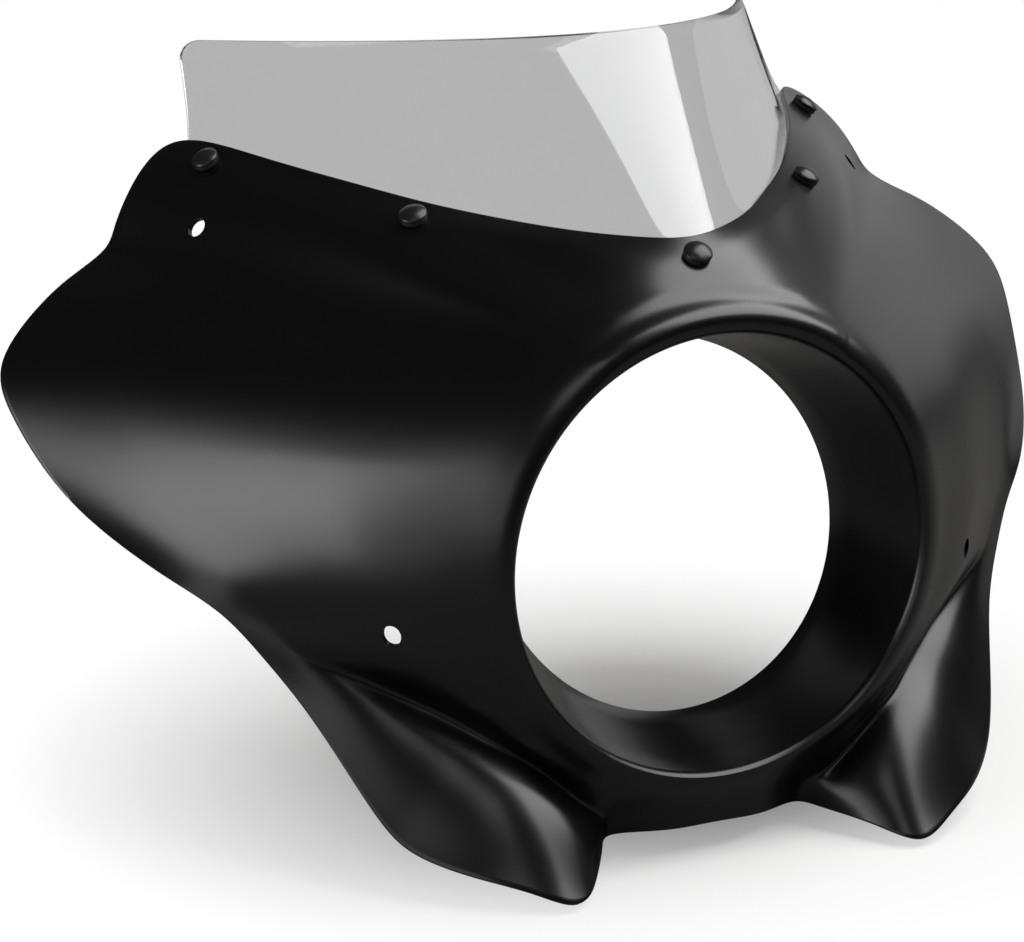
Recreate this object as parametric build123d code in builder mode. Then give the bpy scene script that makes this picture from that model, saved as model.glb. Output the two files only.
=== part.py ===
"""Headlight cowl for a motorbike: a moulded shell round a seven inch lamp, with a bent windscreen.

Millimetres. The origin is the centre of the bezel round the lamp, Y runs back along the lamp's axis,
X to the right as seen from in front of the bike, and Z up.
"""
import os
from math import cos, radians, sin

from build123d import *

os.makedirs("parts", exist_ok=True)

# The moulded shell
WALL = 3.2
BEZEL_RADIUS = 106.0
BEZEL_ROLL_TOP = 7.5
BEZEL_ROLL_BOTTOM = 5.6
COLLAR_RADIUS = 91.8
COLLAR_DEPTH = 63.0
COLLAR_TILT = 11.2
GROOVE_DEPTH = 8.0
GROOVE_DEPTH_BOTTOM = 1.0
GROOVE_RUN = 6.5
GROOVE_RUN_BOTTOM = 3.0
CHEEK_SWELL = 9.0
BRACKET_HOLE = 10.0

# The windscreen, a bent sheet whose flange lies behind the brow
SCREEN_THICK = 3.0
SCREEN_GAP = 0.25
SCREEN_TOP_BACK = 134.0
SCREEN_TOP_SWEEP = 160.0
SCREEN_TOP_HEIGHT = 232.0
SCREEN_TOP_DROP = 8.3
SCREEN_TOP_HALF_WIDTH = 164.0
SCREEN_BROW_HALF_WIDTH = 170.5
SCREEN_BROW_HEIGHT = 177.0
SCREEN_FLANGE_HALF_WIDTH = 179.0
SCREEN_FLARE = 12.0
SCREEN_BEND = 7.0
SCREEN_TRIM = 0.1  # share of the blade's length that its outline trims off
SCREEN_CORNER = 9.0

# The fasteners that clamp the windscreen
SCREW_SHANK = 5.0
SCREW_HOLE = 6.0
SCREW_HEAD = 14.0
SCREW_HEAD_RIM = 1.4
SCREW_HEAD_DOME = 2.2
SCREW_PAST_NUT = 2.0
PAD_DIAMETER = 13.4
PAD_THICK = 2.0
NUT_FLANGE = 11.8
NUT_FLANGE_THICK = 1.2
NUT_WIDTH = 8.0
NUT_HEIGHT = 5.0
THREAD_CLEARANCE = 0.1

# Lines across the shell's right half, from bottom centre round to top centre. Each starts at an angle
# on the bezel and runs over a middle point to the rim. The last two numbers are how sharply it folds
# at the middle point, from 0 to 1, and how far its outer half bulges.
LINES = [
    (-90, (0, 3, -124), (0, 6, -136), 0, 0),
    (-80, (26, 5, -124), (26, 9, -137), 0, 0),
    (-71, (47, 14, -126), (49, 20, -139), 0.3, 0),
    (-66, (57, 13, -124), (60, 9, -140.5), 1, 0),
    (-61, (67, 12.5, -119), (74, -16, -143), 1, 4),
    (-55, (80, 12, -107.5), (90.5, -33, -147), 1, 9),
    (-49, (93, 13, -95.5), (111, -26, -141), 1, 12),
    (-43, (105, 18, -87), (134, -9, -135), 1, 13),
    (-38, (117, 28, -78.5), (154, 12, -128), 1, 13),
    (-33, (130, 38, -70), (165.5, 26.5, -115), 1, 12),
    (-28, (145, 48, -62), (175.5, 43.5, -93.5), 1, 10),
    (-22, (166, 59, -51), (187.5, 64.5, -67.5), 1, 5),
    (-16, (186.5, 70.5, -40), (201.5, 81, -44.5), 0.9, 1),
    (-9, (198, 81, -25), (217, 96, -24), 0.3, 0),
    (-1, (210, 93, -9), (237, 116, -8), 0, 0),
    (8, (224, 114, 9), (259, 149, 11), 0, 0),
    (17, (235, 137, 31), (274, 180.5, 32), 0, 0),
    (27, (237, 156, 57), (283.5, 208, 57.5), 0, 0),
    (36, (226, 164, 80), (281, 228, 81), 0, 0),
    (44, (200, 158, 98), (256, 240.5, 105), 0, 0),
    (50, (170, 138, 112), (235, 247.5, 117.5), 0.3, 0),
    (54.5, (144, 112, 117.5), (219.5, 249.5, 127.5), 1, 0),
    (55.8, (139, 110.5, 124), (212.5, 252.5, 139), 0.7, 0),
    (57, (133, 109, 130), (201.5, 257.5, 156.5), 0.4, 3),
    (58.2, (130, 108, 135), (185.5, 263.5, 171.5), 0.1, 4),
    (59.5, (125, 107, 140), (167.5, 252, 177.5), 0, 3),
    (62, (116, 106, 144.3), (146, 205, 172.7), 0, 1),
    (64.5, (107, 103, 148.2), (120, 157.5, 165.5), 0, 0),
    (67, (94, 93, 148.6), (96, 120, 159.2), 0, 0),
    (70, (76, 76, 147.4), (72, 90.5, 154.2), 0, 0),
    (75, (51, 49, 144.3), (48, 62.5, 150.6), 0, 0),
    (82, (24, 26, 140), (24, 42.5, 148.2), 0, 0),
    (90, (0, 18, 137), (0, 33, 147), 0, 0),
]
LAST = len(LINES) - 1
RIM_BULGE = 0.5  # how much of a line's bulge is left at the rim
MITRE_LIMIT = 0.7  # keeps the wall's far side from running away behind a sharp fold
SECTIONS_PER_LINE = 2

# Places on the shell, as a line number and how far along it: 0 the bezel, 1 the middle point, 2 the rim
BRACKET_HOLES = [(12.7, 0.42), (22.53, 1.67)]
SCREWS = [(LAST, 1.23), (27.46, 1.33), (24.5, 1.81)]
# Sections of the windscreen: how far out, and how far along the shell its flange starts
SCREEN_SECTIONS = [(0, 0.7), (12, 0.7), (25, 0.7), (38, 0.7), (50, 0.72), (62, 0.74), (75, 0.78), (88, 0.83),
                   (100, 0.9), (111, 0.98), (122, 1.07), (132, 1.17), (142, 1.29), (151, 1.39), (160, 1.49),
                   (168, 1.55), (176, 1.58), (188, 1.6)]

FORWARD = Vector(0, -1, 0)
BACK = Vector(0, 1, 0)
THIRD = 1 / 3
QUARTER_ARC = 0.3905  # handle length of a quarter circle, as a share of its chord


def smooth(values, first, last):
    """The slope at every line of a smooth curve through its values, with the slopes at both ends given."""
    slopes = [first] + [first * 0] * (LAST - 1) + [last]
    for sweep in range(20):
        for i in range(1, LAST):
            slopes[i] = ((values[i + 1] - values[i - 1]) * 3 - slopes[i - 1] - slopes[i + 1]) * 0.25
    return values, slopes


def square_to_middle(points):
    """A smooth curve through one point of every line that crosses the middle plane squarely."""
    return smooth(points, Vector(points[1].X, 0, 0), Vector(-points[-2].X, 0, 0))


def at(curve, line):
    """The value of a smooth curve at a line number that need not be whole, and its slope there."""
    values, slopes = curve
    low = min(int(line), LAST - 1)
    t = line - low
    step = values[low + 1] - values[low]
    bend = slopes[low] + slopes[low + 1] - step * 2
    value = values[low] + slopes[low] * t + (step * 3 - slopes[low] * 2 - slopes[low + 1]) * t**2 + bend * t**3
    slope = slopes[low] + (step * 3 - slopes[low] * 2 - slopes[low + 1]) * 2 * t + bend * 3 * t**2
    return value, slope


ANGLES = smooth([line[0] for line in LINES], LINES[1][0] - LINES[0][0], LINES[-1][0] - LINES[-2][0])
MIDDLE = square_to_middle([Vector(*line[1]) for line in LINES])
RIM = square_to_middle([Vector(*line[2]) for line in LINES])
FOLDS = [line[3] for line in LINES]
BULGES = smooth([line[4] for line in LINES], 0, 0)


def reach(start, leaving, end, arriving, handle=THIRD):
    """The four control points of a curve that leaves and arrives in given directions."""
    chord = (end - start).length
    return start, start + leaving.normalized() * chord * handle, end - arriving.normalized() * chord * handle, end


def on_curve(points, share):
    """The point at a share of a cubic curve, and the direction there."""
    a, b, c, d = points
    rest = 1 - share
    place = a * rest**3 + b * 3 * share * rest**2 + c * 3 * share**2 * rest + d * share**3
    heading = (b - a) * rest**2 + (c - b) * 2 * share * rest + (d - c) * share**2
    return place, heading.normalized()


def knots(line):
    """The points that one section turns at: place, direction in, direction out, way to the hidden side."""
    angle = radians(at(ANGLES, line)[0])
    radial = Vector(cos(angle), 0, sin(angle))
    around = Vector(-sin(angle), 0, cos(angle))
    high = (1 + sin(angle)) / 2
    roll = BEZEL_ROLL_BOTTOM + (BEZEL_ROLL_TOP - BEZEL_ROLL_BOTTOM) * high
    deep = min(1, max(0, 0.85 + 0.9 * sin(angle)))
    groove = GROOVE_DEPTH_BOTTOM + (GROOVE_DEPTH - GROOVE_DEPTH_BOTTOM) * deep
    run = GROOVE_RUN_BOTTOM + (GROOVE_RUN - GROOVE_RUN_BOTTOM) * deep
    cheek = max(0, min(1, (angle + radians(60)) / radians(30), (radians(60) - angle) / radians(35)))

    tilt = radians(COLLAR_TILT)
    rear = Vector(radial.X * COLLAR_RADIUS, COLLAR_DEPTH + radial.Z * COLLAR_RADIUS * sin(tilt),
                  radial.Z * COLLAR_RADIUS * cos(tilt))
    bore = radial * BEZEL_RADIUS
    crest = radial * (BEZEL_RADIUS + roll) + FORWARD * roll
    outside = radial * (BEZEL_RADIUS + 2 * roll)
    root = radial * (BEZEL_RADIUS + 2 * roll + run) + BACK * groove

    middle, middle_slope = at(MIDDLE, line)
    rim, rim_slope = at(RIM, line)
    across = middle_slope + rim_slope
    leaving = (middle - root) * THIRD + FORWARD * CHEEK_SWELL * cheek
    low = min(int(line), LAST - 1)
    fold = FOLDS[low] + (FOLDS[low + 1] - FOLDS[low]) * (line - low)
    straight = (rim - root).normalized() * (1 - fold)
    into = (straight + (middle - root).normalized() * fold).normalized()
    out = (straight + (rim - middle).normalized() * fold).normalized()
    span = (rim - middle) * THIRD
    puff = span.cross(across).normalized() * at(BULGES, line)[0]
    out = out * span.length + puff
    ending = span * 3 - out + puff * (1 - RIM_BULGE)
    funnel = (bore - rear).normalized()
    faces = into.cross(middle_slope).normalized(), out.cross(middle_slope).normalized()
    mitre = (faces[0] + faces[1]) * (1 / max(MITRE_LIMIT, 1 + faces[0].dot(faces[1])))
    return [
        (rear, funnel, funnel, radial),
        (bore, funnel, FORWARD, radial),
        (crest, radial, radial, BACK),
        (outside, BACK, BACK, -radial),
        (root, leaving, leaving, -leaving.cross(around).normalized()),
        (middle, into, out, -mitre),
        (rim, ending, ending, -ending.cross(across).normalized()),
    ]


HANDLES = [THIRD, QUARTER_ARC, QUARTER_ARC, QUARTER_ARC, THIRD, THIRD]


def skin(line, along):
    """A place on the visible face and the way out of the shell there, from a line number and 0 to 2 along it."""
    step = 0.02
    span = 5 if along > 1 else 4
    found = []
    for number in (max(line - step, 0), min(line + step, LAST)):
        turns = knots(number)
        start, end = turns[span], turns[span + 1]
        found.append(on_curve(reach(start[0], start[2], end[0], end[1]), along - (span - 4)))
    place = (found[0][0] + found[1][0]) * 0.5
    outward = (found[0][1] + found[1][1]).cross(found[1][0] - found[0][0]).normalized()
    return place, outward


def closed_section(visible, hidden):
    """One closed wire from a chain of visible curves and the chain behind it."""
    edges = [Edge.make_bezier(*points) for points in visible]
    edges.append(Edge.make_line(visible[-1][-1], hidden[-1][-1]))
    edges += [Edge.make_bezier(*reversed(points)) for points in reversed(hidden)]
    edges.append(Edge.make_line(hidden[0][0], visible[0][0]))
    return Wire(edges)


def shell_section(line):
    """The section of the shell along one line: collar, bezel, groove, panel and rim."""
    turns = knots(line)
    visible, hidden = [], []
    for start, end, handle in zip(turns, turns[1:], HANDLES):
        visible.append(reach(start[0], start[2], end[0], end[1], handle))
        hidden.append(reach(start[0] + start[3] * WALL, start[2], end[0] + end[3] * WALL, end[1], handle))
    return closed_section(visible, hidden)


def through(places):
    """The control points of the cubic curve through four places evenly spread along it."""
    a, b, c, d = places
    return a, (b * 18 - a * 5 - c * 9 + d * 2) * (1 / 6), (a * 2 - b * 9 + c * 18 - d * 5) * (1 / 6), d


def under_brow(out, along):
    """The place behind the shell for the windscreen's front face, at a distance out from the middle plane.

    Also the way through the windscreen there, within the plane of one section.
    """
    low, high = LAST / 2, LAST
    for halving in range(24):
        line = (low + high) / 2
        place, outward = skin(line, along)
        place = place - outward * (WALL + SCREEN_GAP)
        if place.X > out:
            low = line
        else:
            high = line
    slant = outward.Y**2 + outward.Z**2
    return Vector(out, place.Y, place.Z), Vector(0, -outward.Y / slant, -outward.Z / slant)


def screen_section(out, flange_start):
    """One lengthwise section of the windscreen: the flange behind the brow, then the blade above it."""
    stops = [flange_start + (2 - flange_start) * share for share in (0, THIRD, 2 * THIRD, 1)]
    found = [under_brow(out, along) for along in stops]
    front = through([place for place, inward in found])
    rear = through([place + inward * SCREEN_THICK for place, inward in found])

    share = out / SCREEN_TOP_HALF_WIDTH
    top = Vector(out, SCREEN_TOP_BACK + SCREEN_TOP_SWEEP * share**2, SCREEN_TOP_HEIGHT - SCREEN_TOP_DROP * share**2)
    rise = top - front[3]
    sweep = Vector(1, 2 * SCREEN_TOP_SWEEP * share / SCREEN_TOP_HALF_WIDTH, 0)
    normal = rise.cross(sweep).normalized()
    slant = normal.Y**2 + normal.Z**2
    rear_top = top + Vector(0, normal.Y, normal.Z) * (SCREEN_THICK / slant)
    blades = []
    for flange, end in ((front, top), (rear, rear_top)):
        bend = flange[3] + (flange[3] - flange[2]).normalized() * SCREEN_BEND
        end = end + (end - bend) * SCREEN_TRIM
        blades.append((flange[3], bend, bend + (end - bend) * THIRD, end))
    return closed_section([front, blades[0]], [rear, blades[1]])


def both_sides(places):
    """Planes on the visible face with their Z out of the shell, mirrored unless they are on the middle."""
    planes = []
    for line, along in places:
        place, outward = skin(line, along)
        if line == LAST:
            planes.append(Plane(origin=(0, place.Y, place.Z), x_dir=(1, 0, 0), z_dir=(0, outward.Y, outward.Z)))
            continue
        for side in (-1, 1):
            planes.append(Plane(origin=(place.X * side, place.Y, place.Z),
                                z_dir=(outward.X * side, outward.Y, outward.Z)))
    return planes


screw_planes = both_sides(SCREWS)
bracket_planes = both_sides(BRACKET_HOLES)

right = [shell_section(i / SECTIONS_PER_LINE) for i in range(LAST * SECTIONS_PER_LINE + 1)]
left = [section.mirror(Plane.YZ) for section in reversed(right[1:-1])]
moulding = Solid.make_loft([*right, *left, right[0]])
with BuildPart() as cowl_shell:
    add(moulding)
    with Locations(*screw_planes):
        Cylinder(SCREW_HOLE / 2, 6 * WALL, mode=Mode.SUBTRACT)
    with Locations(*bracket_planes):
        Cylinder(BRACKET_HOLE / 2, 6 * WALL, mode=Mode.SUBTRACT)
cowl_shell.part.label = "cowl_shell"

right = [screen_section(out, start) for out, start in SCREEN_SECTIONS]
left = [section.mirror(Plane.YZ) for section in reversed(right[1:])]
bent_sheet = Solid.make_loft([*left, *right])

with BuildPart() as windscreen:
    add(bent_sheet)
    with BuildSketch(Plane.XZ) as outline:
        with BuildLine():
            corner = (SCREEN_TOP_HALF_WIDTH, SCREEN_TOP_HEIGHT - SCREEN_TOP_DROP)
            top = ThreePointArc((-corner[0], corner[1]), (0, SCREEN_TOP_HEIGHT), corner)
            sides = Polyline(corner, (SCREEN_BROW_HALF_WIDTH, SCREEN_BROW_HEIGHT),
                             (SCREEN_FLANGE_HALF_WIDTH, SCREEN_BROW_HEIGHT - SCREEN_FLARE),
                             (SCREEN_FLANGE_HALF_WIDTH, 0), (0, 0))
            mirror(sides, about=Plane.YZ)
        make_face()
        fillet(outline.vertices().sort_by(Axis.Z)[-2:], SCREEN_CORNER)
    extrude(amount=SCREEN_TOP_BACK + 2 * SCREEN_TOP_SWEEP, both=True, mode=Mode.INTERSECT)
    with Locations(*screw_planes):
        Cylinder(SCREW_HOLE / 2, 8 * WALL, mode=Mode.SUBTRACT)
windscreen.part.label = "windscreen"

# Heights along a screw's axis, from the visible face of the shell
head_base = PAD_THICK
screen_back = -(WALL + SCREEN_GAP + SCREEN_THICK)
nut_front = screen_back - PAD_THICK
shank_end = nut_front - NUT_HEIGHT - SCREW_PAST_NUT

with BuildPart() as one_screw:
    with BuildSketch(Plane.XZ):
        with BuildLine():
            Polyline((0, head_base + SCREW_HEAD_RIM + SCREW_HEAD_DOME), (0, shank_end), (SCREW_SHANK / 2, shank_end),
                     (SCREW_SHANK / 2, head_base), (SCREW_HEAD / 2, head_base),
                     (SCREW_HEAD / 2, head_base + SCREW_HEAD_RIM))
            RadiusArc((SCREW_HEAD / 2, head_base + SCREW_HEAD_RIM),
                      (0, head_base + SCREW_HEAD_RIM + SCREW_HEAD_DOME),
                      -(SCREW_HEAD**2 / 4 + SCREW_HEAD_DOME**2) / (2 * SCREW_HEAD_DOME))
        make_face()
    revolve(axis=Axis.Z)

with BuildPart() as screen_screws:
    with Locations(*screw_planes):
        add(one_screw.part)
screen_screws.part.label = "screen_screws"

# The pads are soft: each takes the shape of the face that it is pressed against
with BuildPart() as head_pads:
    with Locations(*screw_planes):
        with Locations((0, 0, -WALL / 2)):
            Cylinder(PAD_DIAMETER / 2, WALL / 2 + PAD_THICK, align=(Align.CENTER, Align.CENTER, Align.MIN))
        Cylinder(SCREW_HOLE / 2, 4 * PAD_THICK, mode=Mode.SUBTRACT)
    add(cowl_shell.part, mode=Mode.SUBTRACT)
head_pads.part.label = "head_pads"

with BuildPart() as nut_pads:
    with Locations(*screw_planes):
        with Locations((0, 0, nut_front)):
            Cylinder(PAD_DIAMETER / 2, PAD_THICK + SCREEN_THICK / 2, align=(Align.CENTER, Align.CENTER, Align.MIN))
            Cylinder(SCREW_HOLE / 2, 4 * PAD_THICK, mode=Mode.SUBTRACT)
    add(windscreen.part, mode=Mode.SUBTRACT)
nut_pads.part.label = "nut_pads"

with BuildPart() as one_nut:
    with Locations((0, 0, nut_front)):
        Cylinder(NUT_FLANGE / 2, NUT_FLANGE_THICK, align=(Align.CENTER, Align.CENTER, Align.MAX))
    with BuildSketch(Plane.XY.offset(nut_front - NUT_HEIGHT)):
        RegularPolygon(NUT_WIDTH / 2, 6, major_radius=False)
    extrude(amount=NUT_HEIGHT)
    with Locations((0, 0, nut_front)):
        Cylinder(SCREW_SHANK / 2 + THREAD_CLEARANCE, 4 * NUT_HEIGHT, mode=Mode.SUBTRACT)

with BuildPart() as flange_nuts:
    with Locations(*screw_planes):
        add(one_nut.part)
flange_nuts.part.label = "flange_nuts"

export_step(cowl_shell.part, "parts/cowl_shell.step")
export_step(windscreen.part, "parts/windscreen.step")
export_step(screen_screws.part, "parts/screen_screws.step")
export_step(head_pads.part, "parts/head_pads.step")
export_step(nut_pads.part, "parts/nut_pads.step")
export_step(flange_nuts.part, "parts/flange_nuts.step")
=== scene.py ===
# %% [markdown]
# # A headlight cowl for a motorbike
#
# The cowl is one thin moulding round a lamp opening, in satin black, with a bent sheet of smoked acrylic
# clamped behind its brow by five dome-head screws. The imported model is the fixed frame, and this script
# gives it its finished surfaces. The shell and the sheet have no flat faces at all, so both are worked out
# as formulas on fine grids, and the light has to be arranged as in a studio for their satin and polished
# surfaces to read.

import bmesh
import bpy
import numpy as np
from mathutils import Matrix


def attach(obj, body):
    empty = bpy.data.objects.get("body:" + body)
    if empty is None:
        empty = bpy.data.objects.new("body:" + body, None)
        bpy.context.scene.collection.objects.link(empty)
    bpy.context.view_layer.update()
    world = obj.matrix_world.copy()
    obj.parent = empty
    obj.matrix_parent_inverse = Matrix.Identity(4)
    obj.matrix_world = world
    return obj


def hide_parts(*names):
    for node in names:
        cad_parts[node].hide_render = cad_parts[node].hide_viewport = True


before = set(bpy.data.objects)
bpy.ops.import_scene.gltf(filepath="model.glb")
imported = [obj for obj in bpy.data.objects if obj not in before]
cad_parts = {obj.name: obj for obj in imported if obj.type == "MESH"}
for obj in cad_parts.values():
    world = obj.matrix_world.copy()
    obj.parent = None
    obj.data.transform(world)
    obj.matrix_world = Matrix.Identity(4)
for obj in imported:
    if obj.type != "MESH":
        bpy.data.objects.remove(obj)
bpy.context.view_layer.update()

# %% [markdown]
# ## Helpers for grids
#
# A moulded surface can be pushed together from subdivided boxes, but a formula keeps its curves fair and its
# two sides alike. Every new piece here is a grid of points: rows in one direction, columns in the other, and
# four-sided faces between them. A grid may close on itself in either direction.

# %% From a grid of points to a mesh
MM = 0.001
# Edges sharper than this stay crisp, in degrees: on moulded and bent sheets, and on turned parts.
SHEET_ANGLE, TURNED_ANGLE = 40, 50


def unit(v):
    """Each vector divided by its own length."""
    return v / np.linalg.norm(v, axis=-1, keepdims=True)


def grid_faces(rows, cols, close_rows=False, close_cols=False):
    """Four-sided faces between neighbouring points, wrapping round wherever the grid is closed."""
    r = np.arange(rows if close_rows else rows - 1)[:, None]
    c = np.arange(cols if close_cols else cols - 1)[None, :]
    next_r, next_c = (r + 1) % rows, (c + 1) % cols
    corners = [r * cols + c, r * cols + next_c, next_r * cols + next_c, next_r * cols + c]
    return np.stack([corner.reshape(-1) for corner in corners], axis=1)


def make_piece(name, points, faces, material, sharp):
    """A smooth-shaded object from points in millimetres and faces, with edges sharper than an angle kept."""
    mesh = bpy.data.meshes.new(name)
    mesh.from_pydata((points.reshape(-1, 3) * MM).tolist(), [], faces.tolist())
    mesh.shade_smooth()
    mesh.set_sharp_from_angle(angle=np.radians(sharp))
    mesh.materials.append(material)
    piece = bpy.data.objects.new(name, mesh)
    bpy.context.collection.objects.link(piece)
    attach(piece, "root")
    return piece


def report(piece):
    """Prints how many faces a piece has before its modifiers."""
    print(piece.name, "faces:", len(piece.data.polygons))


# %% [markdown]
# ## Shader expressions
#
# A material is easier to read as arithmetic than as a list of nodes and links. The first class below wraps one
# socket, and its operators add the Math node that does the sum. The second adds any other node, and the third
# is a material made that way. The world, at the end, uses the second too.


# %% A small language for materials
class Sock:
    """One output socket of a node tree, with arithmetic that adds Math nodes."""

    def __init__(self, tree, socket):
        self.tree, self.socket = tree, socket

    def math(self, operation, *others):
        node = self.tree.nodes.new("ShaderNodeMath")
        node.operation = operation
        for place, value in zip(node.inputs, (self, *others)):
            plug(self.tree, place, value)
        return Sock(self.tree, node.outputs[0])

    def __add__(self, other):
        return self.math("ADD", other)

    def __sub__(self, other):
        return self.math("SUBTRACT", other)

    def __rsub__(self, other):
        return (self * -1) + other

    def __mul__(self, other):
        return self.math("MULTIPLY", other)

    def clamp(self):
        return self.math("MAXIMUM", 0.0).math("MINIMUM", 1.0)

    __radd__ = __add__
    __rmul__ = __mul__


def plug(tree, place, value):
    """Links a socket into a place, or writes a plain value there."""
    if isinstance(value, Sock):
        tree.links.new(value.socket, place)
    else:
        place.default_value = value


class Nodes:
    """An empty node tree, whose nodes are added by type, settings and inputs, in order or by name."""

    def __init__(self, owner):
        owner.use_nodes = True
        self.tree = owner.node_tree
        self.tree.nodes.clear()

    def node(self, kind, *values, settings=None, output=0, **inputs):
        made = self.tree.nodes.new(kind)
        for key, value in (settings or {}).items():
            setattr(made, key, value)
        for place, value in zip(made.inputs, values):
            plug(self.tree, place, value)
        for key, value in inputs.items():
            plug(self.tree, made.inputs[key.replace("_", " ")], value)
        return Sock(self.tree, made.outputs[output])

    def finish(self, kind, shader):
        """The last node, which shows the shader."""
        self.tree.links.new(shader.socket, self.tree.nodes.new(kind).inputs["Surface"])


class Finish(Nodes):
    """A material, with the patterns that the finishes below share."""

    def __init__(self, name):
        self.material = bpy.data.materials.new(name)
        super().__init__(self.material)

    def where(self):
        """The place on the piece, in metres."""
        return self.node("ShaderNodeTexCoord", output="Object")

    def noise(self, scale, detail=2.0, rough=0.5):
        return self.node("ShaderNodeTexNoise", Vector=self.where(), Scale=scale, Detail=detail, Roughness=rough)

    def surface(self, **inputs):
        """The finished material, from the values of a Principled shader."""
        self.finish("ShaderNodeOutputMaterial", self.node("ShaderNodeBsdfPrincipled", **inputs))
        return self.material


# %% [markdown]
# ## The finishes
#
# The moulding is black plastic with a satin skin: very dark, with broad soft reflections. A flat colour would
# look like paint on paper. What shows at arm's length is a faint unevenness in the gloss, and close up a grain
# too fine to see one by one, so one noise drives the roughness and a finer one a low bump.


# %% Satin black moulding
def satin_moulding():
    """Near-black plastic whose gloss drifts a little over a hand's width, with a fine pebbled skin."""
    skin = Finish("satin_moulding")
    drift = skin.noise(9.0, 3.0)
    grain = skin.noise(2600.0, 1.0)
    bump = skin.node("ShaderNodeBump", Strength=0.06, Distance=0.0001, Height=grain)
    return skin.surface(
        Base_Color=(0.0018, 0.0018, 0.0019, 1),
        Roughness=drift * 0.05 + 0.245,
        Specular_IOR_Level=0.6,
        Normal=bump,
    )


moulding = satin_moulding()
print("finish:", moulding.name)

# %% [markdown]
# The screen is acrylic with a grey dye in it. A see-through grey coating would lose the bright edges and the
# bend of the light, so this is a transmitting shader with acrylic's refractive index and a polished face.


# %% Smoked acrylic
def smoked_acrylic():
    """Clear polished acrylic with a grey dye all through it."""
    sheet = Finish("smoked_acrylic")
    haze = sheet.noise(30.0, 2.0)
    return sheet.surface(
        Base_Color=(0.47, 0.47, 0.475, 1),
        Roughness=haze * 0.01 + 0.005,
        IOR=1.49,
        Transmission_Weight=1.0,
    )


acrylic = smoked_acrylic()
print("finish:", acrylic.name)

# %% [markdown]
# The small parts have finishes of their own, because next to each other they read as different stuff: matt
# rubber under the heads, satin black coating on the screws, and zinc on the nuts behind.


# %% Rubber, coated steel and plated steel
def soft_rubber():
    """Matt black rubber with a slightly dusty bloom."""
    rubber = Finish("soft_rubber")
    bloom = rubber.noise(700.0, 3.0)
    return rubber.surface(Base_Color=(0.012, 0.012, 0.012, 1), Roughness=bloom * 0.2 + 0.55)


def black_screw():
    """Black-coated steel, satin, with a faint orange peel."""
    coat = Finish("black_screw")
    peel = coat.noise(900.0, 2.0)
    bump = coat.node("ShaderNodeBump", Strength=0.12, Distance=0.0001, Height=peel)
    return coat.surface(Base_Color=(0.012, 0.012, 0.013, 1), Roughness=peel * 0.08 + 0.26, Normal=bump)


def plated_steel():
    """Zinc-plated steel, a little clouded."""
    plate = Finish("plated_steel")
    cloud = plate.noise(400.0, 3.0)
    return plate.surface(Base_Color=(0.55, 0.56, 0.58, 1), Metallic=1.0, Roughness=cloud * 0.2 + 0.28)


rubber = soft_rubber()
screw_coat = black_screw()
steel = plated_steel()
print("finishes:", rubber.name, screw_coat.name, steel.name)

# %% [markdown]
# ## The moulded shell
#
# The real shell is one piece of plastic, 3.2 mm thick, that grows out of the round bezel: a brow over the
# top, a broad wing on each side, and a pod at each lower corner. The lines below run outwards from the bezel
# like the ribs of a fan, as they do in the CAD source. Each starts at an angle round the bezel, passes a
# middle point and ends on the rim. Folds sharpen the shoulder and the valley above each pod.

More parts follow.
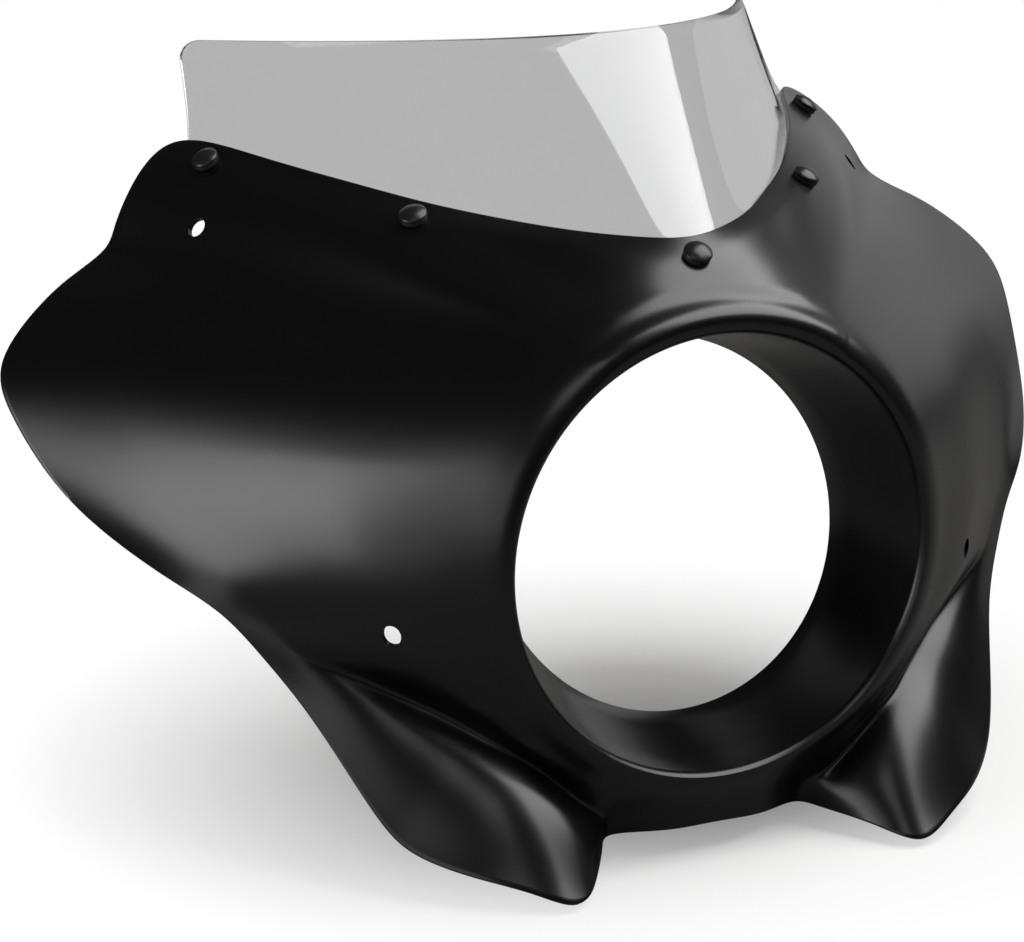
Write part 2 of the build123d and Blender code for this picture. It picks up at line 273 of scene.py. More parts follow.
# %% The lines of the fan for the right half
# Angle round the bezel in degrees, middle point and rim point in millimetres, share of fold, outward bulge.
LINES = [
    (-90, (0, 3, -124), (0, 6, -136), 0, 0),
    (-80, (26, 5, -124), (26, 9, -137), 0, 0),
    (-71, (47, 14, -126), (49, 20, -139), 0.3, 0),
    (-66, (57, 13, -124), (60, 9, -140.5), 1, 0),
    (-61, (67, 12.5, -119), (74, -16, -143), 1, 4),
    (-55, (80, 12, -107.5), (90.5, -33, -147), 1, 9),
    (-49, (93, 13, -95.5), (111, -26, -141), 1, 12),
    (-43, (105, 18, -87), (134, -9, -135), 1, 13),
    (-38, (117, 28, -78.5), (154, 12, -128), 1, 13),
    (-33, (130, 38, -70), (165.5, 26.5, -115), 1, 12),
    (-28, (145, 48, -62), (175.5, 43.5, -93.5), 1, 10),
    (-22, (166, 59, -51), (187.5, 64.5, -67.5), 1, 5),
    (-16, (186.5, 70.5, -40), (201.5, 81, -44.5), 0.9, 1),
    (-9, (198, 81, -25), (217, 96, -24), 0.3, 0),
    (-1, (210, 93, -9), (237, 116, -8), 0, 0),
    (8, (224, 114, 9), (259, 149, 11), 0, 0),
    (17, (235, 137, 31), (274, 180.5, 32), 0, 0),
    (27, (237, 156, 57), (283.5, 208, 57.5), 0, 0),
    (36, (226, 164, 80), (281, 228, 81), 0, 0),
    (44, (200, 158, 98), (256, 240.5, 105), 0, 0),
    (50, (170, 138, 112), (235, 247.5, 117.5), 0.3, 0),
    (54.5, (144, 112, 117.5), (219.5, 249.5, 127.5), 1, 0),
    (55.8, (139, 110.5, 124), (212.5, 252.5, 139), 0.7, 0),
    (57, (133, 109, 130), (201.5, 257.5, 156.5), 0.4, 3),
    (58.2, (130, 108, 135), (185.5, 263.5, 171.5), 0.1, 4),
    (59.5, (125, 107, 140), (167.5, 252, 177.5), 0, 3),
    (62, (116, 106, 144.3), (146, 205, 172.7), 0, 1),
    (64.5, (107, 103, 148.2), (120, 157.5, 165.5), 0, 0),
    (67, (94, 93, 148.6), (96, 120, 159.2), 0, 0),
    (70, (76, 76, 147.4), (72, 90.5, 154.2), 0, 0),
    (75, (51, 49, 144.3), (48, 62.5, 150.6), 0, 0),
    (82, (24, 26, 140), (24, 42.5, 148.2), 0, 0),
    (90, (0, 18, 137), (0, 33, 147), 0, 0),
]
LAST = len(LINES) - 1
print("lines on each side:", len(LINES))

# %% The shell's sizes, in millimetres
WALL = 3.2
BEZEL_RADIUS = 106.0
ROLL_TOP, ROLL_BOTTOM = 7.5, 5.6
COLLAR_RADIUS, COLLAR_DEPTH, COLLAR_TILT = 91.8, 63.0, np.radians(11.2)
GROOVE_DEPTH, GROOVE_DEPTH_BOTTOM = 8.0, 1.0
GROOVE_RUN, GROOVE_RUN_BOTTOM = 6.5, 3.0
CHEEK_SWELL = 9.0
RIM_BULGE = 0.5
MITRE_LIMIT = 0.7
# Handles of a cubic, as a share of its chord: a third for a free curve, and less of it for a quarter circle.
THIRD, QUARTER_ARC = 1 / 3, 0.3905
print("width inside the collar and the bezel, in mm:", 2 * COLLAR_RADIUS, 2 * BEZEL_RADIUS)

# %% [markdown]
# A surface drawn straight from line to line would show a crease at each. A cubic spline through the lines has
# no change of curvature there, which is what a smooth reflection needs.


# %% Smooth curves from line to line
def slopes(values, first, last):
    """Slopes that make piecewise cubics join without a change of curvature.

    Each slope and its two neighbours satisfy: before + 4 x here + after = 3 x (next value - last value).
    """
    n = len(values)
    system = np.eye(n)
    right = np.zeros_like(values)
    inner = np.arange(1, n - 1)
    system[inner, inner - 1] = system[inner, inner + 1] = 1
    system[inner, inner] = 4
    right[1:-1] = 3 * (values[2:] - values[:-2])
    right[0], right[-1] = first, last
    return np.linalg.solve(system, right)


def curve(values, first=None, last=None):
    """A smooth function of the line number through one value per line, and its slope.

    Points cross the middle plane squarely, so their end slopes have only the part along X.
    """
    values = np.asarray(values, float)
    flat = values.ndim == 1
    values = values[:, None] if flat else values
    if first is None:
        first, last = (values[1] - values[0]) * [1, 0, 0], (values[-1] - values[-2]) * [1, 0, 0]
    slope = slopes(values, first, last)

    def at(u):
        low = np.clip(u.astype(int), 0, LAST - 1)
        t = (u - low)[:, None]
        a, b, ma, mb = values[low], values[low + 1], slope[low], slope[low + 1]
        bend = ma + mb - 2 * (b - a)
        lean = 3 * (b - a) - 2 * ma - mb
        place = a + ma * t + lean * t**2 + bend * t**3
        tangent = ma + 2 * lean * t + 3 * bend * t**2
        return (place[:, 0], tangent[:, 0]) if flat else (place, tangent)

    return at


angles = [line[0] for line in LINES]
angle_at = curve(angles, angles[1] - angles[0], angles[-1] - angles[-2])
middle_at = curve([line[1] for line in LINES])
rim_at = curve([line[2] for line in LINES])
bulge_at = curve([line[4] for line in LINES], 0, 0)
folds = [line[3] for line in LINES]
print("rim at the middle of the wing:", np.round(rim_at(np.array([LAST / 2]))[0][0], 1).tolist())

# %% [markdown]
# Seven points make one section: the collar's rear edge, the bore, the crest and outside of the bezel's roll, the
# root of the groove round it, the middle of the panel and the rim. Each has a direction in, a direction out and
# the way to the hidden side, so that the spans between them meet without a kink, or with one where it is folded.


# %% Cubic spans
def reach(start, leaving, end, arriving, handle=THIRD):
    """Control points of a cubic that leaves and arrives in given directions, handles a share of its chord."""
    chord = np.linalg.norm(end - start, axis=-1, keepdims=True) * handle
    return np.stack([start, start + unit(leaving) * chord, end - unit(arriving) * chord, end], axis=1)


def along_cubic(control, t):
    """Points of a cubic curve: each control point weighted by its Bernstein polynomial in t."""
    t = np.asarray(t)[None, :, None]
    a, b, c, d = (control[:, i, None, :] for i in range(4))
    return a * (1 - t) ** 3 + 3 * b * t * (1 - t) ** 2 + 3 * c * t**2 * (1 - t) + d * t**3


# %% The points that each line turns at
def knots(u):
    """For line numbers u: the seven turning points, directions in and out, and the way to the hidden side.

    The roll, the groove and the cheek's swell fade from the top of the bezel to its bottom with the sine of
    the angle. At a fold the way to the hidden side is a mitre, the sum of both faces' normals over 1 + their
    cosine, so that the wall keeps its thickness.
    """
    angle = np.radians(angle_at(u)[0])
    zero = np.zeros_like(angle)
    radial = np.stack([np.cos(angle), zero, np.sin(angle)], -1)
    around = np.stack([-np.sin(angle), zero, np.cos(angle)], -1)
    back = np.tile([0.0, 1.0, 0.0], (len(u), 1))
    forward = -back
    high = (1 + np.sin(angle))[:, None] / 2
    roll = ROLL_BOTTOM + (ROLL_TOP - ROLL_BOTTOM) * high
    deep = np.clip(0.85 + 0.9 * np.sin(angle), 0, 1)[:, None]
    groove = GROOVE_DEPTH_BOTTOM + (GROOVE_DEPTH - GROOVE_DEPTH_BOTTOM) * deep
    run = GROOVE_RUN_BOTTOM + (GROOVE_RUN - GROOVE_RUN_BOTTOM) * deep
    cheek = np.clip(np.minimum((np.degrees(angle) + 60) / 30, (60 - np.degrees(angle)) / 35), 0, 1)[:, None]

    rear = radial * COLLAR_RADIUS * [1, 0, np.cos(COLLAR_TILT)]
    rear[:, 1] = COLLAR_DEPTH + radial[:, 2] * COLLAR_RADIUS * np.sin(COLLAR_TILT)
    bore = radial * BEZEL_RADIUS
    crest = radial * (BEZEL_RADIUS + roll) + forward * roll
    outside = radial * (BEZEL_RADIUS + 2 * roll)
    root = radial * (BEZEL_RADIUS + 2 * roll + run) + back * groove

    middle, middle_slope = middle_at(u)
    rim, rim_slope = rim_at(u)
    across = middle_slope + rim_slope
    leaving = (middle - root) * THIRD + forward * CHEEK_SWELL * cheek
    fold = np.interp(u, np.arange(LAST + 1), folds)[:, None]
    straight = unit(rim - root) * (1 - fold)
    into = unit(straight + unit(middle - root) * fold)
    out = unit(straight + unit(rim - middle) * fold)
    span = (rim - middle) * THIRD
    puff = unit(np.cross(span, across)) * bulge_at(u)[0][:, None]
    out = out * np.linalg.norm(span, axis=-1, keepdims=True) + puff
    ending = span * 3 - out + puff * (1 - RIM_BULGE)
    funnel = unit(bore - rear)
    face_in, face_out = unit(np.cross(into, middle_slope)), unit(np.cross(out, middle_slope))
    facing = np.sum(face_in * face_out, axis=-1, keepdims=True)
    mitre = (face_in + face_out) / np.maximum(MITRE_LIMIT, 1 + facing)
    return [
        (rear, funnel, funnel, radial),
        (bore, funnel, forward, radial),
        (crest, radial, radial, back),
        (outside, back, back, -radial),
        (root, leaving, leaving, -unit(np.cross(leaving, around))),
        (middle, into, out, -mitre),
        (rim, ending, ending, -unit(np.cross(ending, across))),
    ]


print("turning points of a section:", len(knots(np.array([0.0]))))

# %% [markdown]
# The section along each line is a closed loop: up the collar, over the bezel, through the groove, across the
# panel to the rim, and back along the hidden side at the wall's distance. Joining all sections gives a ring
# with no open edge. A bevel could round its folds, but only by one radius. Averaging each point with its
# neighbours, many times over and by a weight that fades in and out, gives the changing fillets of a moulding:
# along the lines it fills the groove and rounds the fold, and across them it eases the shoulder under the brow.

# %% Averaging with a weight


def average(points, weight, passes, axis):
    """Moves each point towards the mean of its two neighbours along an axis, as far as its weight says."""
    ends = [slice(None)] * 3
    before, here, after = (ends[:] for _ in range(3))
    before[axis], here[axis], after[axis] = slice(None, -2), slice(1, -1), slice(2, None)
    before, here, after = tuple(before), tuple(here), tuple(after)
    for _ in range(passes):
        middle = (points[before] + points[after]) / 2
        points[here] += (middle - points[here]) * weight[here] / 2


def ramp(values, low, high):
    """0 below low, 1 above high, and 3x^2 - 2x^3 between."""
    x = np.clip((values - low) / (high - low), 0, 1)
    return x * x * (3 - 2 * x)


print("ramp from 0 to 1:", ramp(np.array([0.0, 0.25, 0.5, 0.75, 1.0]), 0, 1).tolist())

# %% One section
# For the six spans between the turning points: the handle of the cubic, and the number of columns.
HANDLES = [THIRD, QUARTER_ARC, QUARTER_ARC, QUARTER_ARC, THIRD, THIRD]
STEPS = [4, 8, 8, 8, 26, 24]
PANEL = 4
PANEL_EASE = 1.6
CREST, FOLD, RIM = sum(STEPS[:2]), sum(STEPS[: PANEL + 1]), sum(STEPS)


def section_points(turns, inset):
    """Points along all spans of each section, offset to the hidden side by inset.

    The panel's columns stand closer together near the bezel: its parameter is a share to the power PANEL_EASE.
    """
    parts = []
    for span, (start, end, handle, steps) in enumerate(zip(turns, turns[1:], HANDLES, STEPS)):
        control = reach(start[0] + start[3] * inset, start[2], end[0] + end[3] * inset, end[1], handle)
        t = np.linspace(0, 1, steps, endpoint=False)
        parts.append(along_cubic(control, t**PANEL_EASE if span == PANEL else t))
    last = turns[-1]
    parts.append((last[0] + last[3] * inset)[:, None])
    return np.concatenate(parts, axis=1)


print("columns on one side of the wall:", RIM + 1)

# %% Where the surface is eased, in columns and in line numbers
GROOVE_PASSES, GROOVE_IN, GROOVE_OUT = 110, (CREST - 3, CREST + 3), (FOLD - 20, FOLD - 11)
TOP_LINES, TOP_SPARED = (16, 28.5), 0.84
FOLD_PASSES, FOLD_REACH = 5, 6
SHOULDER_PASSES, SHOULDER_LINES_IN, SHOULDER_LINES_OUT = 160, (18.5, 21.5), (26.0, 28.5)
SHOULDER_IN, SHOULDER_OUT = (CREST + 12, CREST + 20), (RIM - 7, RIM - 1)


def eased(points, line):
    """The sections with their groove, fold and shoulder softened, the groove less so at the bezel's top."""
    line = line[:, None, None]
    column = np.arange(points.shape[1])[None, :, None]
    groove = ramp(column, *GROOVE_IN) * (1 - ramp(column, *GROOVE_OUT))
    groove = groove * (1 - TOP_SPARED * ramp(line, *TOP_LINES))
    average(points, groove + 0 * points, GROOVE_PASSES, 1)
    near_fold = (np.abs(column - FOLD) < FOLD_REACH) * 1.0
    average(points, near_fold + 0 * points, FOLD_PASSES, 1)
    shoulder = ramp(line, *SHOULDER_LINES_IN) * (1 - ramp(line, *SHOULDER_LINES_OUT))
    shoulder = shoulder * ramp(column, *SHOULDER_IN) * (1 - ramp(column, *SHOULDER_OUT))
    average(points, shoulder + 0 * points, SHOULDER_PASSES, 0)
    average(points, shoulder + 0 * points, SHOULDER_PASSES // 4, 1)
    return points


# %% The closed grid
LINE_STEPS = 8
EDGE_ROUND = 0.7
# Share of the way across the wall's edge, and how far it is set back there as a share of EDGE_ROUND.
EDGE_STOPS = [(0.08, 0.2), (0.3, 0.0), (0.7, 0.0), (0.92, 0.2)]


def rounded_edge(first, second, inward):
    """Four points across the wall's edge, set back at both corners so that they catch the light softly."""
    across = second - first
    return np.stack([first + across * share + inward * EDGE_ROUND * back for share, back in EDGE_STOPS], axis=1)


def shell_points():
    """The closed grid of the shell: one row per section, mirrored for the left half."""
    u = np.linspace(0, LAST, LAST * LINE_STEPS + 1)
    turns = knots(u)
    shown, hidden = (eased(section_points(turns, inset), u) for inset in (0.0, WALL))
    rim_in = -unit(turns[-1][1])
    rear_in = unit(turns[0][2])
    rim_edge = rounded_edge(shown[:, -1], hidden[:, -1], rim_in)
    rear_edge = rounded_edge(hidden[:, 0], shown[:, 0], rear_in)
    shown[:, -1] += rim_in * EDGE_ROUND
    hidden[:, -1] += rim_in * EDGE_ROUND
    shown[:, 0] += rear_in * EDGE_ROUND
    hidden[:, 0] += rear_in * EDGE_ROUND
    right = np.concatenate([shown, rim_edge, hidden[:, ::-1], rear_edge], axis=1)
    left = right[-2:0:-1] * [-1, 1, 1]
    return np.concatenate([right, left])


ring = shell_points()
print("sections, points in each:", ring.shape[:2])

# %% [markdown]
# ## Places on the shell
#
# The screws and the bracket holes stand square on the curved surface. A place is a line number and how far
# along it: 0 to 1 runs from the groove to the fold, 1 to 2 on to the rim. The way out of the surface there is
# square to two directions: one along the line, one across it.

# %% A place on the visible face
LINE_NUDGE = 0.02


def on_cubic(control, t):
    """One point of each cubic, at its own t."""
    a, b, c, d = (control[:, i] for i in range(4))
    t = t[:, None]
    return a * (1 - t) ** 3 + 3 * b * t * (1 - t) ** 2 + 3 * c * t**2 * (1 - t) + d * t**3


def heading(control, t):
    """A third of the slope of each cubic, at its own t."""
    a, b, c, d = (control[:, i] for i in range(4))
    t = t[:, None]
    return (b - a) * (1 - t) ** 2 + 2 * (c - b) * t * (1 - t) + (d - c) * t**2


def along_line(u, s):
    """The place and the heading at s on each line u."""
    root, middle, rim = knots(u)[PANEL:]
    inner = reach(root[0], root[2], middle[0], middle[1])
    outer = reach(middle[0], middle[2], rim[0], rim[1])
    control = np.where((s > 1)[:, None, None], outer, inner)
    t = s - (s > 1)
    return on_cubic(control, t), heading(control, t)


def skin(u, s):
    """Places on the visible face, for arrays of line numbers and 0 to 2 along, and the way out there."""
    before, heading_a = along_line(np.maximum(u - LINE_NUDGE, 0), s)
    after, heading_b = along_line(np.minimum(u + LINE_NUDGE, LAST), s)
    outward = unit(np.cross(heading_a + heading_b, after - before))
    return (before + after) / 2, outward


# %% Screw seats and bracket holes
def both_sides(places):
    """Seats as (place, outward) pairs in millimetres: one for a middle place, else a mirrored pair."""
    seats = []
    for line, along in places:
        place, outward = (value[0] for value in skin(np.array([line * 1.0]), np.array([along])))
        sides = [0] if line == LAST else [-1, 1]
        seats += [(place * [side, 1, 1], unit(outward * [side, 1, 1])) for side in sides]
    return seats


screw_seats = both_sides([(LAST, 1.23), (27.46, 1.33), (24.5, 1.81)])
bracket_seats = both_sides([(12.7, 0.42), (22.53, 1.67)])
print("screw seats:", [np.round(place, 1).tolist() for place, _ in screw_seats])

# %% [markdown]
# Screws, pads and the plugs that cut their holes are all turned parts. Spin could make them from a drawn edge,
# but a profile swept by a formula can stand on any seat at once, five to an object.


# %% Profiles turned about an axis
def turned(profile, seat, steps=48):
    """A profile of (radius, height) pairs swept round a seat's outward axis.

    Each point is: seat + height x outward + radius x (cos a x first + sin a x second).
    """
    place, outward = seat
    first = unit(np.cross(outward, [0.0, 0.0, 1.0] if abs(outward[2]) < 0.9 else [0.0, 1.0, 0.0]))
    second = np.cross(outward, first)
    a = np.linspace(0, 2 * np.pi, steps, endpoint=False)[:, None, None]
    radius, height = np.asarray(profile, float).T
    ring = np.cos(a) * first + np.sin(a) * second
    return place + height[None, :, None] * outward + radius[None, :, None] * ring


def turned_group(name, profile, seats, material, closed=False, steps=48):
    """One object of a profile turned at every seat. An open profile starts and ends on the axis."""
    points, faces, offset = [], [], 0
    for seat in seats:
        grid = turned(profile, seat, steps)
        points.append(grid.reshape(-1, 3))
        faces.append(grid_faces(steps, len(profile), True, closed) + offset)
        offset += steps * len(profile)
    piece = make_piece(name, np.concatenate(points), np.concatenate(faces), material, TURNED_ANGLE)
    weld(piece)
    return piece


def weld(piece):
    """Merges doubled points, as at a pole, and points every face outwards."""
    work = bmesh.new()
    work.from_mesh(piece.data)
    bmesh.ops.remove_doubles(work, verts=work.verts, dist=1e-6)
    bmesh.ops.recalc_face_normals(work, faces=work.faces)
    work.to_mesh(piece.data)
    work.free()


# %% [markdown]
# The bracket holes are real openings that the pale floor shows through, and the screws have holes too. They are
# cut with Boolean modifiers from plugs turned at their seats, which is quicker and cleaner than bending the grid
# round them.

# %% Plugs for the holes
BRACKET_HOLE = 10.0
SCREW_HOLE = 6.0
PLUG_REACH = 6 * WALL


def plug_profile(radius):
    """Half outline of a cylinder that passes right through the wall."""
    return [(0, -PLUG_REACH), (radius, -PLUG_REACH), (radius, PLUG_REACH), (0, PLUG_REACH)]


bracket_plugs = turned_group("bracket_plugs", plug_profile(BRACKET_HOLE / 2), bracket_seats, moulding)
screw_plugs = turned_group("screw_plugs", plug_profile(SCREW_HOLE / 2), screw_seats, moulding, steps=24)
report(bracket_plugs)
report(screw_plugs)

# %% The finished shell
shell = make_piece("cowl_moulding", ring, grid_faces(*ring.shape[:2], True, True), moulding, SHEET_ANGLE)
weld(shell)
for cutter in (bracket_plugs, screw_plugs):
    cut = shell.modifiers.new("holes", "BOOLEAN")
    cut.object = cutter
    cut.solver = "EXACT"
    bpy.context.view_layer.objects.active = shell
    with bpy.context.temp_override(object=shell, active_object=shell):
        bpy.ops.object.modifier_apply(modifier=cut.name)
    bpy.data.objects.remove(cutter)
shell.data.set_sharp_from_angle(angle=np.radians(SHEET_ANGLE))
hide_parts("cowl_shell")
report(shell)

# %% [markdown]
# ## The windscreen
#
# The screen is a flat sheet of acrylic that was warmed and bent over a former: a round nose in the middle, two
# nearly flat sides, and a flange along its foot that the shell's brow covers. Lengthwise sections describe it
# best, because its sides rise in straight lines. The flange keeps a constant gap behind the shell.

# %% The screen's sizes, in millimetres
SCREEN_THICK = 3.0
SCREEN_GAP = 0.25
TOP_BACK, TOP_SWEEP, TOP_HEIGHT, TOP_DROP = 134.0, 160.0, 232.0, 8.3
TOP_HALF_WIDTH, BROW_HALF_WIDTH, FLANGE_HALF_WIDTH = 164.0, 170.5, 179.0
SCREEN_BEND, SCREEN_CORNER, EDGE_POLISH = 7.0, 9.0, 0.6
# Distance out from the middle, and how far along the lines the flange's lower edge lies there.
FLANGE_STARTS = [
    (0, 0.7), (38, 0.7), (62, 0.74), (88, 0.83), (111, 0.98), (132, 1.17), (151, 1.39), (168, 1.55), (188, 1.6),
]
print("width of the sheet's top edge, in mm:", 2 * TOP_HALF_WIDTH)

# %% The flange under the brow
HALVINGS = 30


def under_brow(out, s):
    """The sheet's front face behind the shell, where X equals out, at s along the lines.

    Going back from the middle plane the lines move steadily outwards, so halving finds the one that fits.
    """
    near, far = np.full_like(out, LAST), np.full_like(out, LAST / 2)
    for _ in range(HALVINGS):
        line = (near + far) / 2
        place, outward = skin(line, s)
        below = place - outward * (WALL + SCREEN_GAP)
        beyond = below[:, 0] > out
        near, far = np.where(beyond, near, line), np.where(beyond, line, far)
    below[:, 0] = out
    return below


def foot_curve(out):
    """The flange's control points at distances out: a cubic through four points under the brow.

    With points a, b, c, d at 0, 1/3, 2/3 and 1, its handles are (-5a + 18b - 9c + 2d) / 6 and the mirror of it.
    """
    start = np.interp(out, *zip(*FLANGE_STARTS))
    a, b, c, d = (under_brow(out, start + (2 - start) * share) for share in (0, THIRD, 2 * THIRD, 1))
    first = (-5 * a + 18 * b - 9 * c + 2 * d) / 6
    second = (2 * a - 9 * b + 18 * c - 5 * d) / 6
    return np.stack([a, first, second, d], axis=1)


print("flange at the middle:", np.round(foot_curve(np.array([0.0]))[0, [0, 3]], 1).tolist())


# %% The blade above it
def blade_curve(out, foot):
    """The blade's control points: on from the flange, round the bend and up to the top edge."""
    k = out / TOP_HALF_WIDTH
    top = np.stack([out, TOP_BACK + TOP_SWEEP * k**2, TOP_HEIGHT - TOP_DROP * k**2], -1)
    bend = foot[:, 3] + unit(foot[:, 3] - foot[:, 2]) * SCREEN_BEND
    return np.stack([foot[:, 3], bend, bend + (top - bend) * THIRD, top], axis=1)


# %% The sheet's front face
ACROSS, FLANGE_ROWS, BLADE_ROWS = 221, 14, 36
COLUMN_TURN = 0.45 * np.pi
ROW_EASE = 1.3


def sheet_points():
    """Rows from the flange's edge to the top edge, columns across from left to right.

    A column stands a fixed share of the half width out: the sine of evenly spaced angles, so that columns are
    closer together at the sides. The corners are rounded by a quarter circle: where the sheet is reach_in
    millimetres into a corner, its top edge is lower by radius - sqrt(radius^2 - reach_in^2).
    """
    turn = np.linspace(0, COLUMN_TURN, (ACROSS + 1) // 2)
    a = np.sin(turn) / np.sin(turn[-1])
    rows = []
    for share in np.linspace(0, 1, FLANGE_ROWS, endpoint=False):
        out = a * (FLANGE_HALF_WIDTH + (BROW_HALF_WIDTH - FLANGE_HALF_WIDTH) * share**2)
        rows.append(on_cubic(foot_curve(out), np.full_like(out, share)))
    for share in np.linspace(0, 1, BLADE_ROWS) ** ROW_EASE:
        width = BROW_HALF_WIDTH + (TOP_HALF_WIDTH - BROW_HALF_WIDTH) * share
        out = a * width
        blade = blade_curve(out, foot_curve(out))
        reach_in = np.clip(out - (width - SCREEN_CORNER), 0, SCREEN_CORNER)
        dip = SCREEN_CORNER - np.sqrt(SCREEN_CORNER**2 - reach_in**2)
        length = np.linalg.norm(blade[:, 3] - blade[:, 0], axis=-1)
        rows.append(on_cubic(blade, share * (1 - dip / length)))
    right = np.stack(rows)
    left = right[:, :0:-1] * [-1, 1, 1]
    return np.concatenate([left, right], axis=1)


sheet = sheet_points()
print("rows and columns of the sheet:", sheet.shape[:2])

# %% [markdown]
# One grid is enough for the sheet, because Solidify gives it its 3 mm towards the back. A narrow bevel stands for
# the flame-polished edge, which gathers a thin bright line from whatever is behind it.

# %% The finished screen
EDGE_ANGLE = 50

screen = make_piece("smoked_screen", sheet, grid_faces(*sheet.shape[:2]), acrylic, SHEET_ANGLE)
thicken = screen.modifiers.new("thickness", "SOLIDIFY")
thicken.thickness = SCREEN_THICK * MM
thicken.offset = -1
polish = screen.modifiers.new("polished_edge", "BEVEL")
polish.width, polish.segments, polish.limit_method = EDGE_POLISH * MM, 3, "ANGLE"
polish.angle_limit = np.radians(EDGE_ANGLE)
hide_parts("windscreen")
report(screen)

# %% [markdown]
# ## The screws and their pads
#
# Each screw has a low domed head on a soft pad. Seen from the front they are small, but they are what the eye
# lands on, so their profiles have a rolled rim, a crown and a pad that bulges a little where it is squeezed.

# %% The screws, in millimetres above their seats
PAD_THICK = 2.0
HEAD_RADIUS, HEAD_RIM, HEAD_DOME = 7.0, 1.4, 2.2
HEAD_EDGE = 0.35
CROWN_STEPS, CROWN_POWER = 12, 2.2
SHANK_RADIUS, SHANK_END, SHANK_CHAMFER = 2.5, -15.45, 0.5


def crown(radius, rim_height, dome):
    """A shallow dome: it falls from the axis with the distance to the power CROWN_POWER."""
    share = np.linspace(0, 1, CROWN_STEPS)
    return [(radius * (1 - q), rim_height + dome * (1 - (1 - q) ** CROWN_POWER)) for q in share]


def head_profile():
    """Half outline of a screw, from the shank's end up the outside to the crown."""
    base = PAD_THICK
    shank = [
        (0, SHANK_END),
        (SHANK_RADIUS - SHANK_CHAMFER, SHANK_END),
        (SHANK_RADIUS, SHANK_END + SHANK_CHAMFER),
        (SHANK_RADIUS, base),
    ]
    rim = [(HEAD_RADIUS - HEAD_EDGE, base), (HEAD_RADIUS, base + HEAD_EDGE), (HEAD_RADIUS, base + HEAD_RIM - 0.5)]
    return shank + rim + crown(HEAD_RADIUS - 0.25, base + HEAD_RIM, HEAD_DOME)


screws = turned_group("dome_screws", head_profile(), screw_seats, screw_coat)
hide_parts("screen_screws")
report(screws)

# %% The pads, squeezed out a little at mid-height
pad_profile = [(SCREW_HOLE / 2, -0.4), (6.5, -0.4), (6.7, 0.3), (6.75, 1.0), (6.6, 1.7), (6.3, 2.0), (3.0, 2.0)]
pads = turned_group("squeezed_pads", pad_profile, screw_seats, rubber, closed=True)
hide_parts("head_pads")
report(pads)

# %% [markdown]
# Behind the sheet each screw has a pad and a flange nut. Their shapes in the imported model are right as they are,
# so they stay and only get the finishes made above.

# %% Nuts and pads behind the sheet
for node, finish in (("nut_pads", rubber), ("flange_nuts", steel)):
    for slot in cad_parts[node].material_slots:
        slot.material = finish
    report(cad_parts[node])

# %% [markdown]
# ## The studio
#
# Product photographs of such parts show them floating a little above a pale table, with a soft shadow. The
# camera is a long lens, whose place was worked out from the ellipses of the bezel and the collar. A constraint
# could aim it, but three angles say exactly where it looks.

# %% Camera
LENS, SENSOR = 115.114, 36.0
CAMERA_ANGLES = (-22.9237, 14.7081, 1.5301)
CAMERA_PLACE = (-0.6666125, -1.326935, 0.4323768)


def camera_axes(azimuth, elevation, roll):
    """Right, up and forward of a camera that looks back along two angles, turned about its own axis by roll."""
    a, e, r = np.radians([azimuth, elevation, roll])
    forward = -np.array([np.sin(a) * np.cos(e), -np.cos(a) * np.cos(e), np.sin(e)])
    right = unit(np.cross(forward, [0, 0, 1.0]))
    up = np.cross(right, forward)
    return right * np.cos(r) - up * np.sin(r), right * np.sin(r) + up * np.cos(r), forward


def put_camera():
    """A long lens at the place worked out from the photograph."""
    right, up, forward = camera_axes(*CAMERA_ANGLES)
    data = bpy.data.cameras.new("camera")
    data.lens, data.sensor_width = LENS, SENSOR
    data.clip_end = 100
    camera = bpy.data.objects.new("camera", data)
    turn = np.eye(4)
    turn[:3, :3] = np.stack([right, up, -forward], axis=1)
    turn[:3, 3] = CAMERA_PLACE
    camera.matrix_world = Matrix(turn.tolist())
    bpy.context.collection.objects.link(camera)
    bpy.context.scene.camera = camera


put_camera()
print("camera:", CAMERA_PLACE)

# %% [markdown]
# The table is off-white and takes the cowl's shadow near its middle, and further out it fades into plain white,
# so that it has no horizon. The photograph's black shell shows a dim table below it, while the table itself was
# exposed to white. The floor's material therefore has a second, dim face, which only reflections see.

# %% Floor
FLOOR_HEIGHT = -152.0
FLOOR_HALF = 6.0
SHADOW_MIDDLE = (0.03, 0.2, FLOOR_HEIGHT * MM)
SHADOW_CORE, SHADOW_FADE = 0.1, 0.22


def seen_directly(nodes):
    """1 for what the camera sees, also through the screen, and 0 for reflections and light."""
    camera = nodes.node("ShaderNodeLightPath", output="Is Camera Ray")
    through = nodes.node("ShaderNodeLightPath", output="Is Transmission Ray")
    return (camera + through).clamp()


def pale_floor():
    """Off-white under the cowl, plain white from SHADOW_CORE + SHADOW_FADE metres out, and dim in reflections."""
    pale = Finish("pale_floor")
    seen = pale.node("ShaderNodeBsdfDiffuse", output="BSDF", Color=(0.88, 0.87, 0.86, 1))
    dim = pale.node("ShaderNodeBsdfDiffuse", output="BSDF", Color=(0.2, 0.195, 0.19, 1))
    white = pale.node("ShaderNodeEmission", output="Emission", Color=(1, 1, 1, 1), Strength=1.0)
    place, middle = pale.where(), SHADOW_MIDDLE
    apart = pale.node("ShaderNodeVectorMath", place, middle, settings={"operation": "DISTANCE"}, output="Value")
    fade = ((apart - SHADOW_CORE) * (1 / SHADOW_FADE)).clamp()
    table = pale.node("ShaderNodeMixShader", fade, seen, white)
    pale.finish("ShaderNodeOutputMaterial", pale.node("ShaderNodeMixShader", seen_directly(pale), dim, table))
    return pale.material


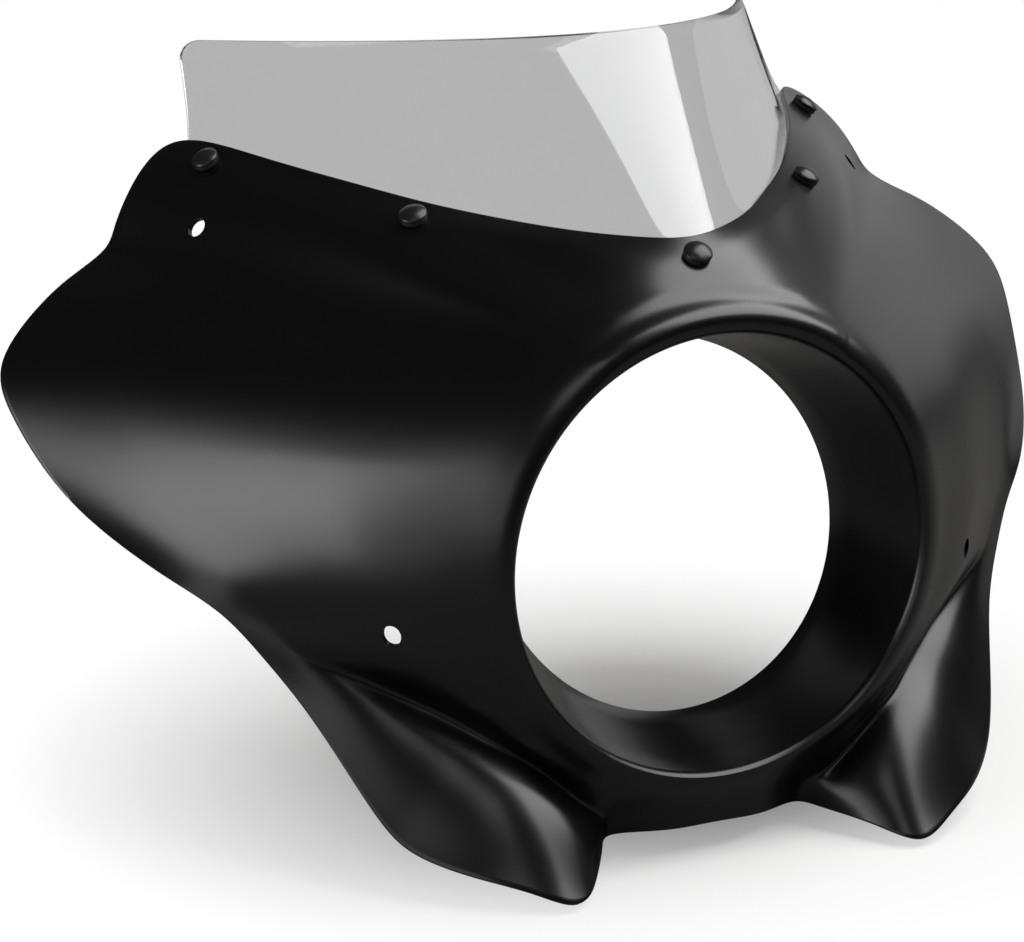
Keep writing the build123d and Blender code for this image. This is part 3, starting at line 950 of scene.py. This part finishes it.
def put_floor():
    """One large square under the cowl."""
    mesh = bpy.data.meshes.new("floor")
    signs = [(-1, -1), (1, -1), (1, 1), (-1, 1)]
    corners = [(x * FLOOR_HALF, y * FLOOR_HALF, FLOOR_HEIGHT * MM) for x, y in signs]
    mesh.from_pydata(corners, [], [(0, 1, 2, 3)])
    mesh.materials.append(pale_floor())
    floor = bpy.data.objects.new("floor", mesh)
    bpy.context.collection.objects.link(floor)


put_floor()
print("floor at", FLOOR_HEIGHT, "mm, seen as white beyond", SHADOW_CORE + SHADOW_FADE, "m")

# %% [markdown]
# A black satin surface has almost no colour of its own: what is seen is the lamps in it. So each lamp is a soft
# box that stands where a highlight of the photograph points. The key box makes the white band in the screen and
# the light on the brow, the side boxes the wing's broad highlight, the front one the ridge of the pod, and the
# weak one behind the edge of the far wing.

# %% Lamps
LAMP_TARGET = (0, 0.08, 0)


def facing(place, target):
    """A matrix that puts a lamp at a place, looking at a target."""
    forward = unit(np.subtract(target, place).astype(float))
    right = unit(np.cross(forward, [0, 0, 1.0]))
    turn = np.eye(4)
    turn[:3, :3] = np.stack([right, np.cross(right, forward), -forward], axis=1)
    turn[:3, 3] = place
    return Matrix(turn.tolist())


def soft_box(name, azimuth, elevation, distance, across, high, radiance, lean=0):
    """A rectangular lamp that faces the cowl, leaning sideways. Its power is radiance x pi x its area.

    Its place is distance x (sin azimuth x cos elevation, -cos azimuth x cos elevation, sin elevation).
    """
    a, e = np.radians([azimuth, elevation])
    place = distance * np.array([np.sin(a) * np.cos(e), -np.cos(a) * np.cos(e), np.sin(e)])
    data = bpy.data.lights.new(name, "AREA")
    data.shape, data.size, data.size_y = "RECTANGLE", across, high
    data.energy = radiance * np.pi * across * high
    box = bpy.data.objects.new(name, data)
    box.matrix_world = facing(place, LAMP_TARGET) @ Matrix.Rotation(np.radians(lean), 4, "Z")
    bpy.context.collection.objects.link(box)


soft_box("key_box", 75, 56, 2.2, 2.6, 1.8, 4.4, -30)
soft_box("side_box", -89, 12, 2.0, 0.85, 0.85, 4.6)
soft_box("side_glow", -60, 10, 2.1, 0.9, 0.9, 0.9)
soft_box("front_glow", -36, 44, 2.1, 0.7, 0.5, 1.5)
soft_box("back_glow", 128, 12, 2.4, 2.0, 1.0, 0.42)

# %% [markdown]
# The world is white to the camera and nearly black to everything else, for the same reason as the floor: a white
# room would wash the black shell out to grey.

# %% World
ROOM = (0.04, 0.04, 0.04, 1)


def put_world():
    """A dim room to the cowl, and white to the camera, also through the screen."""
    world = bpy.data.worlds.new("studio")
    bpy.context.scene.world = world
    studio = Nodes(world)
    white = studio.node("ShaderNodeBackground", Color=(1, 1, 1, 1))
    room = studio.node("ShaderNodeBackground", Color=ROOM)
    studio.finish("ShaderNodeOutputWorld", studio.node("ShaderNodeMixShader", seen_directly(studio), room, white))


put_world()
bpy.context.scene.view_settings.view_transform = "Standard"
print("view transform:", bpy.context.scene.view_settings.view_transform)
